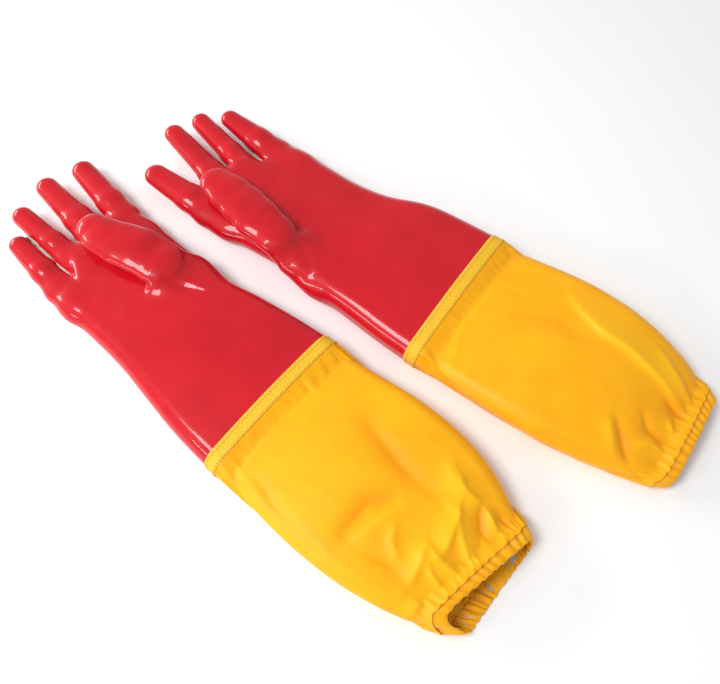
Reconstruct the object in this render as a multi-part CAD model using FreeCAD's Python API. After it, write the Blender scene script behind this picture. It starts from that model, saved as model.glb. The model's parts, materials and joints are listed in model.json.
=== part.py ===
import FreeCAD, Part

import math
import os

# A pair of long-cuff dipped gloves lying palm up, fingers towards +Y, as they are stored on a bench.
# Each glove is a dipped PVC skin over a knitted liner, and a coated-fabric sleeve that is sewn over the
# gauntlet's end and gathered by an elastic at its hem. The skin is one moulding on the real glove: here
# it is cut at each digit's bend, so that the digits can turn on hinges.
#
# A glove is built in its own frame, in millimetres: y runs from the hem towards the fingers, x towards
# the thumb side, z up from the bench. The right glove is built as it is, the left one mirrored in x.

V = FreeCAD.Vector

# ---------------------------------------------------------------- the pair on the bench
CUFF_SPACING = 220.0  # between the middles of the two hems, across
STAGGER = 72.0  # how far the left glove lies behind the right one
TOE_IN = 2.25  # degrees that each glove turns towards the other

# ---------------------------------------------------------------- walls and fits
SKIN_WALL = 1.4
LINER_WALL = 0.9
FABRIC_WALL = 0.6
BAND_WALL = 0.9
ELASTIC_WALL = 1.2
THREAD = 0.5
BOND_GAP = 0.1  # between layers that are bonded or sewn face to face
SEW_GAP = 0.05  # between a thread and the cloth that it lies on
BEND_GAP = 0.6  # between the two sides of a bend, which move on different bodies
FLOOR_BITE = 0.15  # the flat that the glove's own weight presses into its underside

# ---------------------------------------------------------------- lengths along the glove
SLEEVE_LENGTH = 256.0  # hem to the join
HAND_LENGTH = 287.0  # join to the line of the finger webs
HEM_DEPTH = 16.0
ELASTIC_WIDTH = 10.0
BAND_WIDTH = 14.0
JOIN_ROWS = (4.5, 10.0)  # rows of stitches, from the band's hem-side edge
LINER_SET_BACK = 6.0  # the liner ends this far inside the gauntlet
CROWN = 6.0  # the arch of the top over the rounded sides

# ---------------------------------------------------------------- outlines
# A station is (y, middle x, half width, top z, bottom z). Sides are half rounds, the top is arched.
JOIN_HALF_WIDTH = 85.5
JOIN_TOP = 37.0
JOIN_LIFT = 1.8  # room under the gauntlet's end for the band and its thread
HEM_LIFT = 0.8
JOIN_STATION = (SLEEVE_LENGTH, -0.5, JOIN_HALF_WIDTH, JOIN_TOP, JOIN_LIFT)

# The right cuff gapes, the left one has sunk further.
HEM_STATIONS = {
    "right": (
        (0.0, 0.0, 49.0, 28.0, HEM_LIFT),
        (HEM_DEPTH, 0.0, 59.5, 31.0, HEM_LIFT),
        (32.0, 0.0, 69.0, 36.0, 0.0),
    ),
    "left": (
        (0.0, 0.0, 49.0, 21.0, HEM_LIFT),
        (HEM_DEPTH, 0.0, 59.5, 26.0, HEM_LIFT),
        (32.0, 0.0, 69.0, 33.0, 0.0),
    ),
}
SLEEVE_STATIONS = (
    (60.0, 0.0, 79.0, 42.0, 0.0),
    (100.0, 0.0, 87.0, 48.0, 0.0),
    (150.0, 0.0, 90.0, 50.0, 0.0),
    (205.0, -0.5, 88.0, 44.0, 0.0),
    JOIN_STATION,
)
# Hand stations count from the join, palm stations from the web line.
GAUNTLET_STATIONS = ((44.0, -0.5, 83.0, 37.0, 0.0), (92.0, 0.0, 77.0, 36.0, 0.0))
PALM_STATIONS = (
    (-140.0, 3.5, 67.5, 34.0, 0.0),
    (-93.0, 3.5, 66.0, 30.0, 0.0),
    (-43.0, 3.5, 66.5, 27.0, 0.0),
    (-20.0, 4.5, 64.0, 25.0, 0.0),
    (0.0, 12.0, 45.0, 21.0, 1.5),
)

# ---------------------------------------------------------------- digits
FINGER_HALF_HEIGHT = 11.5
FINGER_AXIS_Z = 12.2
FINGER_BEND = 28.0  # from the web line to the bend
FINGER_PITCH = 5.0  # degrees that the fingers rise towards their tips
# A finger is (root x, root y from the web line, tip x, tip y, half width at root, half width at tip),
# where root and tip are the middles of its round ends.
FINGERS = {
    "right": {
        "index": (56.0, -8.0, 66.0, 68.0, 16.0, 14.0),
        "middle": (19.0, 2.0, 26.0, 81.0, 16.5, 13.0),
        "ring": (-16.0, -3.0, -16.0, 71.0, 13.5, 12.0),
        "little": (-47.0, -23.0, -42.0, 45.0, 14.0, 11.5),
    },
    "left": {
        "index": (60.0, -2.0, 60.0, 71.0, 17.5, 15.5),
        "middle": (26.0, 2.0, 5.0, 94.0, 16.5, 12.5),
        "ring": (-8.0, 2.0, -26.0, 81.0, 15.0, 12.5),
        "little": (-45.0, -12.0, -50.0, 58.0, 14.5, 12.0),
    },
}
# A thumb is (bend x, bend y from the web line, tip x, tip y, half width at bend, half width at tip).
THUMBS = {
    "right": (44.0, -91.0, 18.0, -12.0, 21.5, 17.0),
    "left": (50.0, -95.0, 40.0, 2.0, 21.5, 16.0),
}
THUMB_HALF_HEIGHT = 9.5
THUMB_AXIS_Z = 40.8
# The thumb's root rises out of the palm through these ellipses: (x and y from the bend, z, half width,
# half height), and ends in the bend's own section.
THUMB_ROOT = ((2.0, -58.0, 15.0, 17.0, 8.0), (4.0, -26.0, 27.0, 21.5, 9.5))

DIGITS = ("thumb", "index", "middle", "ring", "little")
SIDES = {"right": 1.0, "left": -1.0}
BIG = 2000.0


def slab(axis, low, high):
    """A block that keeps what lies between low and high along one axis."""
    size = {name: BIG for name in "xyz"}
    corner = {name: -BIG / 2 for name in "xyz"}
    size[axis] = high - low
    corner[axis] = low
    return Part.makeBox(size["x"], size["y"], size["z"], V(corner["x"], corner["y"], corner["z"]))


ABOVE_BENCH = slab("z", 0.0, BIG)


def station_wire(station, inset, side):
    """A flattened tube's section: a flat foot, half-round sides and an arched top."""
    y, middle, half_width, top, bottom = station
    middle *= side
    low = bottom + inset if inset > 0 else bottom + inset - FLOOR_BITE
    high = top - inset
    half = half_width - inset
    round_r = (high - low - CROWN) / 2
    reach = half - round_r
    side_z = low + round_r
    rise = high - side_z
    arch_r = (reach**2 + rise**2 - round_r**2) / (2 * (rise - round_r))
    arch_z = high - arch_r
    lean = math.atan2(reach, side_z - arch_z)  # where the arch meets the side round

    def at(x, z):
        return V(middle + x, y, z)

    def on_side(sign, angle):
        return at(sign * (reach + round_r * math.cos(angle)), side_z + round_r * math.sin(angle))

    shoulder = math.pi / 2 - lean
    half_turn = (shoulder - math.pi / 2) / 2
    foot = Part.LineSegment(at(-reach, low), at(reach, low))
    right = Part.Arc(at(reach, low), on_side(1, half_turn), on_side(1, shoulder))
    arch = Part.Arc(on_side(1, shoulder), at(0, high), on_side(-1, shoulder))
    left = Part.Arc(on_side(-1, shoulder), on_side(-1, half_turn), at(-reach, low))
    return Part.Wire([edge.toShape() for edge in (foot, right, arch, left)])


def tube_form(stations, inset, side):
    """A solid through the stations, taken in by inset all round and run on a little past both ends."""
    run_on = 4.0
    first = (stations[0][0] - run_on,) + tuple(stations[0][1:])
    last = (stations[-1][0] + run_on,) + tuple(stations[-1][1:])
    wires = [station_wire(s, inset, side) for s in (first, *stations, last)]
    return Part.makeLoft(wires, True, False)


def between(shape, low, high):
    return shape.common(slab("y", low, high))


def hand_stations():
    web = SLEEVE_LENGTH + HAND_LENGTH
    gauntlet = [(SLEEVE_LENGTH + s[0],) + s[1:] for s in GAUNTLET_STATIONS]
    palm = [(web + s[0],) + s[1:] for s in PALM_STATIONS]
    return [JOIN_STATION, *gauntlet, *palm]


# ---------------------------------------------------------------- digits in their own frame
# A digit's frame has its origin on its axis at the web line or the thumb's bend, and y along the axis.


def digit_frame(glove, name):
    """(placement, length to the round end's middle, bend distance, half width at root, at tip, half height)"""
    side = SIDES[glove]
    web = SLEEVE_LENGTH + HAND_LENGTH
    if name == "thumb":
        x0, y0, x1, y1, root, tip = THUMBS[glove]
        z, pitch, bend, half_height = THUMB_AXIS_Z, 0.0, 0.0, THUMB_HALF_HEIGHT
    else:
        x0, y0, x1, y1, root, tip = FINGERS[glove][name]
        z, pitch, bend, half_height = FINGER_AXIS_Z, FINGER_PITCH, FINGER_BEND, FINGER_HALF_HEIGHT
    run = V(side * (x1 - x0), y1 - y0, 0)
    yaw = math.degrees(math.atan2(-run.x, run.y))
    turn = FreeCAD.Rotation(V(0, 0, 1), yaw).multiply(FreeCAD.Rotation(V(1, 0, 0), pitch))
    return FreeCAD.Placement(V(side * x0, web + y0, z), turn), run.Length, bend, root, tip, half_height


def digit_form(glove, name, inset):
    """A tapered, flattened digit with round ends, in its own frame."""
    _, length, _, root, tip, half_height = digit_frame(glove, name)
    root_r, tip_r = root - inset, tip - inset
    slope = math.asin((root_r - tip_r) / length)

    def on_end(middle, radius, angle):
        return V(radius * math.cos(angle), middle + radius * math.sin(angle), 0)

    low_end, high_end = on_end(0, root_r, -math.pi / 2), on_end(length, tip_r, math.pi / 2)
    low_touch, high_touch = on_end(0, root_r, slope), on_end(length, tip_r, slope)
    low_mid = on_end(0, root_r, (slope - math.pi / 2) / 2)
    high_mid = on_end(length, tip_r, (slope + math.pi / 2) / 2)
    edges = (
        Part.Arc(low_end, low_mid, low_touch),
        Part.LineSegment(low_touch, high_touch),
        Part.Arc(high_touch, high_mid, high_end),
        Part.LineSegment(high_end, low_end),
    )
    outline = Part.Wire([edge.toShape() for edge in edges])
    round_form = Part.Face(outline).revolve(V(0, 0, 0), V(0, 1, 0), 360)
    flatten = FreeCAD.Matrix()
    flatten.scale(1.0, 1.0, (half_height - inset) / root_r)
    return round_form.transformGeometry(flatten)


def ellipse_wire(centre, direction, half_width, half_height):
    """An upright-flattened ellipse square to a direction."""
    across = V(direction.y, -direction.x, 0).normalize()
    up = across.cross(direction).normalize()
    ellipse = Part.Ellipse(
        centre + across * half_width, centre + up * half_height, centre
    )
    return Part.Wire([ellipse.toShape()])


def thumb_root(glove, inset):
    """The part of the thumb that rises out of the palm, up to its bend."""
    side = SIDES[glove]
    place, _, _, half_width, _, half_height = digit_frame(glove, "thumb")
    along = place.Rotation.multVec(V(0, 1, 0))
    end = place.Base - along * (BEND_GAP / 2)
    low, mid = [
        (place.Base + V(side * x, y, z - THUMB_AXIS_Z), w, h) for x, y, z, w, h in THUMB_ROOT
    ]
    wires = [
        ellipse_wire(low[0], V(0, 1, 0.25).normalize(), low[1] - inset, low[2] - inset),
        ellipse_wire(mid[0], V(0, 1, 0.35).normalize(), mid[1] - inset, mid[2] - inset),
        ellipse_wire(end, along, half_width - inset, half_height - inset),
    ]
    return Part.makeLoft(wires, True, False)


def digit_stub(glove, name, inset):
    """The fixed side of a digit's bend, in the glove's frame."""
    if name == "thumb":
        return thumb_root(glove, inset)
    place, _, bend, root, _, _ = digit_frame(glove, name)
    stub = between(digit_form(glove, name, inset), -root, bend - BEND_GAP / 2)
    stub.Placement = place
    return stub


def digit_end(glove, name, outer, inner):
    """The moving side of a digit's bend: a shell between two insets, open towards the bend."""
    place, length, bend, _, tip, _ = digit_frame(glove, name)
    shell = digit_form(glove, name, outer).cut(digit_form(glove, name, inner))
    shell = between(shell, bend + BEND_GAP / 2, length + tip)
    shell.Placement = place
    return shell


# ---------------------------------------------------------------- the pieces of one glove


def hand_form(glove, inset):
    """The gauntlet, palm and digit stubs as one solid, taken in by inset."""
    side = SIDES[glove]
    end = SLEEVE_LENGTH + HAND_LENGTH
    body = between(tube_form(hand_stations(), inset, side), SLEEVE_LENGTH, end - inset)
    for name in DIGITS:
        body = body.fuse(digit_stub(glove, name, inset))
    return body


def layer(outer, inner):
    return outer.cut(inner).common(ABOVE_BENCH)


def skin_and_liner(glove):
    """The hand's skin and liner and each digit's, as pieces by name."""
    cavity_inset = SKIN_WALL
    liner_inset = SKIN_WALL + BOND_GAP
    inside_inset = liner_inset + LINER_WALL
    start = SLEEVE_LENGTH + BEND_GAP
    skin = layer(hand_form(glove, 0.0), hand_form(glove, cavity_inset))
    liner = layer(hand_form(glove, liner_inset), hand_form(glove, inside_inset))
    pieces = {
        "hand_skin": between(skin, start, BIG / 2),
        "hand_liner": between(liner, start + LINER_SET_BACK, BIG / 2),
    }
    for name in DIGITS:
        pieces[f"{name}_skin"] = digit_end(glove, name, 0.0, cavity_inset)
        pieces[f"{name}_liner"] = digit_end(glove, name, liner_inset, inside_inset)
    return pieces


def sleeve_pieces(glove):
    """The sleeve, its hem and elastic, the band over the gauntlet's end, and the sewing threads."""
    side = SIDES[glove]
    stations = (*HEM_STATIONS[glove], *SLEEVE_STATIONS)

    def sleeve(outer, inner, low, high):
        ring = tube_form(stations, outer, side).cut(tube_form(stations, inner, side))
        return between(ring, low, high).common(ABOVE_BENCH)

    def gauntlet(outer, inner, low, high):
        ring = tube_form(hand_stations(), outer, side).cut(tube_form(hand_stations(), inner, side))
        return between(ring, low, high).common(ABOVE_BENCH)

    fold_inner = 2 * FABRIC_WALL + ELASTIC_WALL + 2 * BOND_GAP
    fold = sleeve(0.0, fold_inner, 0.0, HEM_DEPTH)
    channel = sleeve(FABRIC_WALL, fold_inner - FABRIC_WALL, FABRIC_WALL, HEM_DEPTH)
    band_start = SLEEVE_LENGTH + BEND_GAP
    band_out = BOND_GAP + BAND_WALL
    thread_in, thread_out = SEW_GAP, SEW_GAP + THREAD
    rows = [
        gauntlet(
            -(band_out + thread_out), -(band_out + thread_in), band_start + row, band_start + row + THREAD
        )
        for row in JOIN_ROWS
    ]
    hem_row = HEM_DEPTH - 2.5
    seam_z = (JOIN_TOP + JOIN_LIFT - CROWN) / 2
    seam = sleeve(-thread_out, -thread_in, HEM_DEPTH + 2.0, SLEEVE_LENGTH - BEND_GAP)
    seam = seam.common(slab("z", seam_z, seam_z + THREAD))
    seam = seam.common(slab("x", 0.0, BIG) if side > 0 else slab("x", -BIG, 0.0))
    return {
        "sleeve": sleeve(0.0, FABRIC_WALL, HEM_DEPTH + BOND_GAP, SLEEVE_LENGTH - BEND_GAP),
        "hem_casing": fold.cut(channel),
        "hem_elastic": sleeve(
            FABRIC_WALL + BOND_GAP,
            FABRIC_WALL + BOND_GAP + ELASTIC_WALL,
            FABRIC_WALL + BOND_GAP,
            FABRIC_WALL + BOND_GAP + ELASTIC_WIDTH,
        ),
        "hem_stitching": sleeve(-thread_out, -thread_in, hem_row, hem_row + THREAD),
        "side_seam_stitching": seam,
        "join_band": gauntlet(-band_out, -BOND_GAP, band_start, band_start + BAND_WIDTH),
        "join_stitching": Part.makeCompound(rows),
    }


def bench_place(glove):
    """Where a glove lies, before the pair is centred: hem middle and turn."""
    side = SIDES[glove]
    turn = FreeCAD.Rotation(V(0, 0, 1), -side * TOE_IN)
    spot = V(0, 0, 0) if glove == "right" else V(CUFF_SPACING, -STAGGER, 0)
    return FreeCAD.Placement(spot, turn)


def build_pair():
    """Every node by name, in place, with the origin under the middle of the pair."""
    nodes = {}
    for glove in SIDES:
        pieces = {**skin_and_liner(glove), **sleeve_pieces(glove)}
        for name, shape in pieces.items():
            solids = [s for s in shape.Solids if s.Volume > 1.0]
            whole = solids[0] if len(solids) == 1 else Part.makeCompound(solids)
            whole.Placement = bench_place(glove).multiply(whole.Placement)
            nodes[f"{glove}_{name}"] = whole
    box = FreeCAD.BoundBox()
    for shape in nodes.values():
        box.add(shape.optimalBoundingBox(False, False))
    shift = V(-box.Center.x, -box.Center.y, 0)
    for shape in nodes.values():
        shape.translate(shift)
    return nodes, shift


def hinges(shift):
    """Each bend as (name, child body, point, axis): the digits curl towards the palm side, the sleeve folds up."""
    found = []
    for glove in SIDES:
        bench = bench_place(glove)
        for name in DIGITS:
            place, _, bend, root, tip, half_height = digit_frame(glove, name)
            top = place.multVec(V(0, bend, half_height + BEND_GAP / 2))
            axis = place.Rotation.multVec(V(1, 0, 0))
            found.append((f"{glove}_{name}", bench.multVec(top) + shift, bench.Rotation.multVec(axis)))
        fold = V(0, SLEEVE_LENGTH, JOIN_TOP + BEND_GAP / 2)
        found.append((f"{glove}_sleeve", bench.multVec(fold) + shift, bench.Rotation.multVec(V(-1, 0, 0))))
    return found


NODES, SHIFT = build_pair()
os.makedirs("parts", exist_ok=True)
for node, shape in NODES.items():
    shape.exportStep(f"parts/{node}.step")
    print(f"{node}: {len(shape.Solids)} solid(s), {shape.Volume / 1000:.2f} cm3, valid {shape.isValid()}")
for child, point, axis in hinges(SHIFT):
    print(f"{child} turns at {tuple(round(c, 2) for c in point)} about {tuple(round(c, 5) for c in axis)}")
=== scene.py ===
# %% [markdown]
# # A pair of long dipped gloves with sewn-on sleeves
#
# Two gauntlet gloves lie palm up on a pale bench. Each one is a knitted liner that was dipped in red PVC,
# with a yellow coated-fabric sleeve sewn over the end of its gauntlet. The sleeve ends in a hem that an
# elastic gathers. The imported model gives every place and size: this script dresses it.

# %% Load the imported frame
import json
import math

import bmesh
import bpy
import numpy as np
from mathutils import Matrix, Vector


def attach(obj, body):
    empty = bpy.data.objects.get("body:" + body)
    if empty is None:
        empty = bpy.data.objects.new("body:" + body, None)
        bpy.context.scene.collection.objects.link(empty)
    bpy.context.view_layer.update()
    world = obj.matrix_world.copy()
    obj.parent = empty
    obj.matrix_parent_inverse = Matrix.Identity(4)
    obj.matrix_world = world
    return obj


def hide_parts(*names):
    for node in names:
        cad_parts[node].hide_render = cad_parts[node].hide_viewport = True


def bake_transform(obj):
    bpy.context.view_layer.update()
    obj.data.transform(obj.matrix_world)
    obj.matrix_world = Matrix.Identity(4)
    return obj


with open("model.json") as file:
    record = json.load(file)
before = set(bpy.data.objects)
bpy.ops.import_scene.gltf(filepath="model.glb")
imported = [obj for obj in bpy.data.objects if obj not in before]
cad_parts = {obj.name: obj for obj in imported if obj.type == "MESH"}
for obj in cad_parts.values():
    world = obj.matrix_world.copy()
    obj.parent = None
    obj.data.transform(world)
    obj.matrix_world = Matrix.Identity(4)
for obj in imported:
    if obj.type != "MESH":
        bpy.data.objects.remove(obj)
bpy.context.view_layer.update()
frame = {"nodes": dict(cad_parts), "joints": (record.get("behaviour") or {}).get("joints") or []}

joints = {joint["name"]: joint for joint in frame["joints"]}
MM = 0.001
BENCH_GAP = 0.05  # the lowest that any piece lies over the bench, in millimetres
UP = np.array([0.0, 0.0, 1.0])

# %% [markdown]
# ## One frame for each glove
#
# A glove is easiest to describe along itself, and the two gloves are mirror images that lie a little askew.
# So each gets a frame of its own in millimetres: u runs towards the thumb side, v from the hem to the
# fingertips, and z up. The hinge across the sleeve's join gives that frame's place and direction.

# %% The glove's own frame
SLEEVE = 256.0  # from the hem to the join, in millimetres


class Glove:
    """One glove's name and its own frame."""

    def __init__(self, name):
        fold = joints[f"{name}_sleeve_fold"]
        self.name = name
        self.side = 1.0 if name == "right" else -1.0
        self.across = -np.array(fold["axis"])
        self.along = np.cross(UP, self.across)
        self.hem = np.array(fold["pos_m"]) * (1, 1, 0) - self.along * SLEEVE * MM

    def out(self, points):
        """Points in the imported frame, from the glove's frame."""
        p = np.atleast_2d(points) * MM
        return self.hem + self.side * p[:, :1] * self.across + p[:, 1:2] * self.along + p[:, 2:] * UP

    def own(self, points):
        """Points in the glove's frame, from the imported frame."""
        p = np.atleast_2d(points) - self.hem
        return np.stack([self.side * (p @ self.across), p @ self.along, p @ UP], 1) / MM


gloves = {name: Glove(name) for name in ("right", "left")}
print("hems at", {name: glove.hem.round(3).tolist() for name, glove in gloves.items()})

# %% [markdown]
# ## Soft numbers
#
# Outlines are given by a few stations. Straight lines between stations would show as kinks in a glossy
# skin, so a smooth curve runs through them. Two forms are joined with a smooth minimum, which leaves the
# rounded fillet that a dipped skin has in every corner.

# %% Curves through stations, and smooth joins


def curve_through(stations):
    """A smooth function through rows of (place, value, value, ...)."""
    table = np.array(stations, float)
    xs, ys = table[:, 0], table[:, 1:]
    slopes = np.gradient(ys, xs, axis=0)

    def at(x):
        x = np.clip(x, xs[0], xs[-1])
        k = np.clip(np.searchsorted(xs, x, side="right") - 1, 0, len(xs) - 2)
        h = (xs[k + 1] - xs[k])[..., None]
        t = (x - xs[k])[..., None] / h
        rise = ys[k + 1] - ys[k]
        curve = ys[k] + t * h * slopes[k]
        curve = curve + t * t * (3 * rise - h * (2 * slopes[k] + slopes[k + 1]))
        curve = curve + t * t * t * (h * (slopes[k] + slopes[k + 1]) - 2 * rise)
        return np.moveaxis(curve, -1, 0)

    return at


def smooth_min(a, b, reach):
    """The nearer of two forms, with a fillet about a quarter of reach deep."""
    h = np.clip(reach - np.abs(a - b), 0, None) / reach
    return np.minimum(a, b) - h * h * reach / 4


def ease(x):
    x = np.clip(x, 0, 1)
    return x * x * (3 - 2 * x)


# %% [markdown]
# ## The flattened tube
#
# Sleeve, gauntlet and palm are one flattened tube: flat where it lies on the bench, round at its sides and
# gently arched on top. The stations give its two edges and its height.

# %% Outlines of the two gloves
# Each station is (v, little-finger edge, thumb edge, top).
OUTLINES = {
    "right": (
        (0, -47, 50, 28), (16, -60, 60, 31), (32, -71, 68, 35), (60, -81, 79, 41), (100, -88, 88, 46),
        (150, -91, 90, 48), (205, -90, 87, 43), (256, -86, 84.5, 37), (300, -83, 81, 36.5),
        (350, -76.5, 75, 36), (400, -68, 67.5, 33.5), (450, -64.5, 69.5, 30), (500, -63, 70, 27),
        (543, -60, 68, 23.5),
    ),
    "left": (
        (0, -52, 49, 21), (16, -62, 60, 25), (32, -71, 67, 31), (60, -80, 76, 39), (100, -87.5, 84.5, 46),
        (150, -90, 88, 48), (205, -88, 88, 43), (256, -85, 86, 37), (300, -83, 84, 36.5),
        (350, -78, 79.5, 36), (390, -64, 76.5, 34), (425, -60, 71, 31.5), (460, -61, 72, 29.5),
        (500, -62.5, 73, 27), (543, -61, 75, 23.5),
    ),
}
ARCH = 6.0  # how much lower the top is at the edges
SIDE_ROUND = 15.0


def tube_distance(glove, p):
    """How far points are outside the flattened tube."""
    u, v, z = p.T
    low, high, top = glove.outline(v)
    half, middle = (high - low) / 2, (high + low) / 2
    across = (u - middle) / half
    z = z + ARCH * np.clip(across, -1.2, 1.2) ** 2 * np.clip(z / top, 0, 1)
    side = np.minimum(SIDE_ROUND, top / 2)
    du = np.abs(u - middle) - (half - side)
    dz = np.abs(z - top / 2) - (top / 2 - side)
    return np.hypot(np.maximum(du, 0), np.maximum(dz, 0)) + np.minimum(np.maximum(du, dz), 0) - side


for glove in gloves.values():
    glove.outline = curve_through(OUTLINES[glove.name])

# %% [markdown]
# ## Digits
#
# Each digit is a row of tapering beads, flattened a little, with its line taken from its hinge: the hinge
# lies on the palm side of the bend, and points square to the digit. Its length comes from its packed skin.

# %% The digits' lines and widths
FINGER_PITCH = math.radians(5.0)
FINGER_BEND = 28.0  # from a finger's root to its bend
HALF_HEIGHT = {"finger": 11.5, "thumb": 9.5}
HINGE_RISE = 0.3
# Half widths at the root, at the bend and at the tip.
WIDTHS = {
    "right": {
        "index": (16.0, 14.8, 12.8), "middle": (18.0, 15.4, 12.2), "ring": (15.5, 12.8, 11.4),
        "little": (16.5, 13.4, 10.6),
    },
    "left": {
        "index": (18.5, 16.0, 13.2), "middle": (17.5, 14.8, 11.6), "ring": (15.5, 12.8, 11.4),
        "little": (18.0, 14.8, 11.0),
    },
}
FINGERS = ("index", "middle", "ring", "little")
DIGITS = ("thumb", *FINGERS)
# The thumb widens into a paddle over the palm: u, v, z, half width and half height of each bead.
THUMBS = {
    "right": (
        (45, 388, 11, 20, 9), (40, 420, 23, 26, 9.5), (33, 450, 37.8, 25, 9.2), (28, 475, 41.2, 25, 9.4),
        (22.5, 492, 41.2, 24, 9.5), (18, 512, 41, 21, 9.2), (17, 528, 40.8, 18, 8.6),
    ),
    "left": (
        (60, 390, 11, 18, 9), (57, 422, 24, 21, 10), (54.5, 450, 39, 22, 9.5), (51, 477, 41.2, 23.5, 9.5),
        (46, 500, 41.2, 23, 9.5), (42, 522, 41, 21.5, 9.2), (40, 541, 40.8, 18, 8.6),
    ),
}
BACK = 30.0  # how far a finger's form runs back into the palm


class Digit:
    """A digit's line and width, in its glove's frame."""

    def __init__(self, glove, name):
        kind = "thumb" if name == "thumb" else "finger"
        joint = joints[f"{glove.name}_{name}_bend"]
        pitch = 0.0 if name == "thumb" else FINGER_PITCH
        turn = np.array(joint["axis"])
        ahead = np.cross(UP, turn) * math.cos(pitch) + UP * math.sin(pitch)
        self.name = name
        self.glove = glove
        self.ahead = glove.own(glove.hem + ahead * MM)[0]
        drop = UP * (HALF_HEIGHT[kind] + HINGE_RISE)
        self.bend = glove.own(joint["pos_m"])[0] - drop
        if name == "thumb":
            self.beads = [(np.array(bead[:3]), *bead[3:]) for bead in THUMBS[glove.name]]
            return
        packed = np.array([v.co for v in frame["nodes"][f"{glove.name}_{name}_skin"].data.vertices])
        reach = ((glove.own(packed) - self.bend) @ self.ahead).max()
        root, middle, tip = WIDTHS[glove.name][name]
        high = HALF_HEIGHT[kind]
        start = self.bend - self.ahead * FINGER_BEND
        back = start - self.ahead * (1, 1, 0) * BACK
        end = self.bend + self.ahead * (reach - tip)
        self.beads = [
            (back, root, high), (start, root, high), (self.bend, middle, high), (end, tip, high * tip / middle)
        ]

    def distance(self, p):
        """How far points are outside the digit."""
        nearest = None
        for (a, wide_a, high_a), (b, wide_b, high_b) in zip(self.beads, self.beads[1:]):
            run = b - a
            t = np.clip((p - a) @ run / (run @ run), 0, 1)
            wide, high = wide_a + t * (wide_b - wide_a), high_a + t * (high_b - high_a)
            off = p - a - t[:, None] * run
            off[:, 2] *= wide / high
            d = (np.linalg.norm(off, axis=1) - wide) * 0.8
            nearest = d if nearest is None else smooth_min(nearest, d, 4.0)
        return nearest


for glove in gloves.values():
    glove.digits = {name: Digit(glove, name) for name in DIGITS}
    print(glove.name, "bends at", {n: d.bend.round(0).tolist() for n, d in glove.digits.items()})

# %% [markdown]
# ## The whole hand as one form
#
# The palm ends in a curved line through the webs between the fingers. The thumb grows out of the palm with
# a wide fillet, and lies free over it further on, so its fillet fades out along its length. Creases and
# dents are pressed into the form before it is meshed, so the skin runs through them without a seam.

# %% Webs, creases and the hand's form
WEBS = {
    "right": ((-75, 497), (-47, 508), (-30, 515), (-14, 534), (2, 541), (20, 548), (39, 546), (56, 528), (75, 505)),
    "left": ((-75, 508), (-48, 518), (-22, 532), (-6, 552), (8, 556), (22, 560), (40, 562), (62, 540), (80, 520)),
}
# A crease is (from u, v, to u, v, half width, depth): a positive depth is a groove, a negative one a ridge.
CREASES = {
    "right": (
        (24, 466, 52, 452, 7.0, 2.6),
        (30, 424, 47, 384, 3.0, -1.6),
        (22, 428, 36, 398, 5.0, 2.2),
        (14, 500, 30, 484, 8.0, 1.2),
        (-30, 505, -18, 470, 9.0, 1.2),
        (-50, 470, -20, 440, 14.0, 1.4),
    ),
    "left": (
        (58, 472, 40, 466, 5.0, 2.0),
        (40, 440, 66, 395, 6.0, 1.8),
        (20, 470, 34, 420, 10.0, 1.5),
        (-40, 480, -20, 440, 14.0, 1.4),
    ),
}


def crease_depth(p, creases):
    """How deep the creases press the upper side in."""
    u, v, z = p.T
    depth = np.zeros(len(p))
    for u0, v0, u1, v1, half_width, deep in creases:
        run = np.array([u1 - u0, v1 - v0], float)
        t = np.clip(((u - u0) * run[0] + (v - v0) * run[1]) / (run @ run), 0, 1)
        off = np.hypot(u - u0 - t * run[0], v - v0 - t * run[1])
        fade = np.sin(np.pi * np.clip(t, 0.08, 0.92)) ** 0.5
        depth += deep * fade * np.exp(-((off / half_width) ** 2))
    return depth * ease((z - 8) / 8)


def wander(p, scale, seed):
    """A slow, even waviness from a few crossing waves, between about -1 and 1."""
    rng = np.random.default_rng(seed)
    total = np.zeros(len(p))
    for _ in range(7):
        way = rng.normal(size=3)
        way = way / np.linalg.norm(way) * rng.uniform(0.7, 1.5) * 2 * np.pi / scale
        total += np.sin(p @ way + rng.uniform(0, 2 * np.pi))
    return total / 3.5


def hand_distance(glove, p):
    web = glove.web(p[:, 0])[0]
    palm = tube_distance(glove, p)
    palm = -smooth_min(-palm, -(p[:, 1] - web) * 0.9, 12.0)
    fingers = glove.digits["index"].distance(p)
    for name in FINGERS[1:]:
        fingers = smooth_min(fingers, glove.digits[name].distance(p), 1.5)
    form = smooth_min(palm, fingers, 10.0)
    thumb = glove.digits["thumb"]
    fillet = 16.0 - 15.2 * ease((p[:, 1] - (thumb.bend[1] - 22)) / 22)
    form = smooth_min(form, thumb.distance(p), fillet)
    form = form + crease_depth(p, CREASES[glove.name])
    return form + 0.2 * wander(p, 75, 3) * ease(p[:, 2] / 10) * ease((p[:, 1] - 285) / 40)


for glove in gloves.values():
    glove.web = curve_through(WEBS[glove.name])

# %% [markdown]
# ## Meshing a form
#
# Blender's own remesh works on a mesh, and here there is only a distance. So a small surface-net routine
# puts one vertex in each grid cell that the surface passes through, joins neighbours into quads, and then
# slides every vertex down the slope of the distance until it lies on the surface. The slope is also the
# exact normal, which keeps highlights smooth across pieces that are split later.

# %% Surface nets


def slope(distance, p, step=0.2):
    """The direction in which the distance grows, and how fast."""
    grown = [distance(p + step * axis) - distance(p - step * axis) for axis in np.eye(3)]
    gradient = np.stack(grown, 1) / (2 * step)
    steep = np.linalg.norm(gradient, axis=1, keepdims=True)
    return gradient / np.maximum(steep, 1e-6), np.maximum(steep[:, 0], 0.3)


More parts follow.
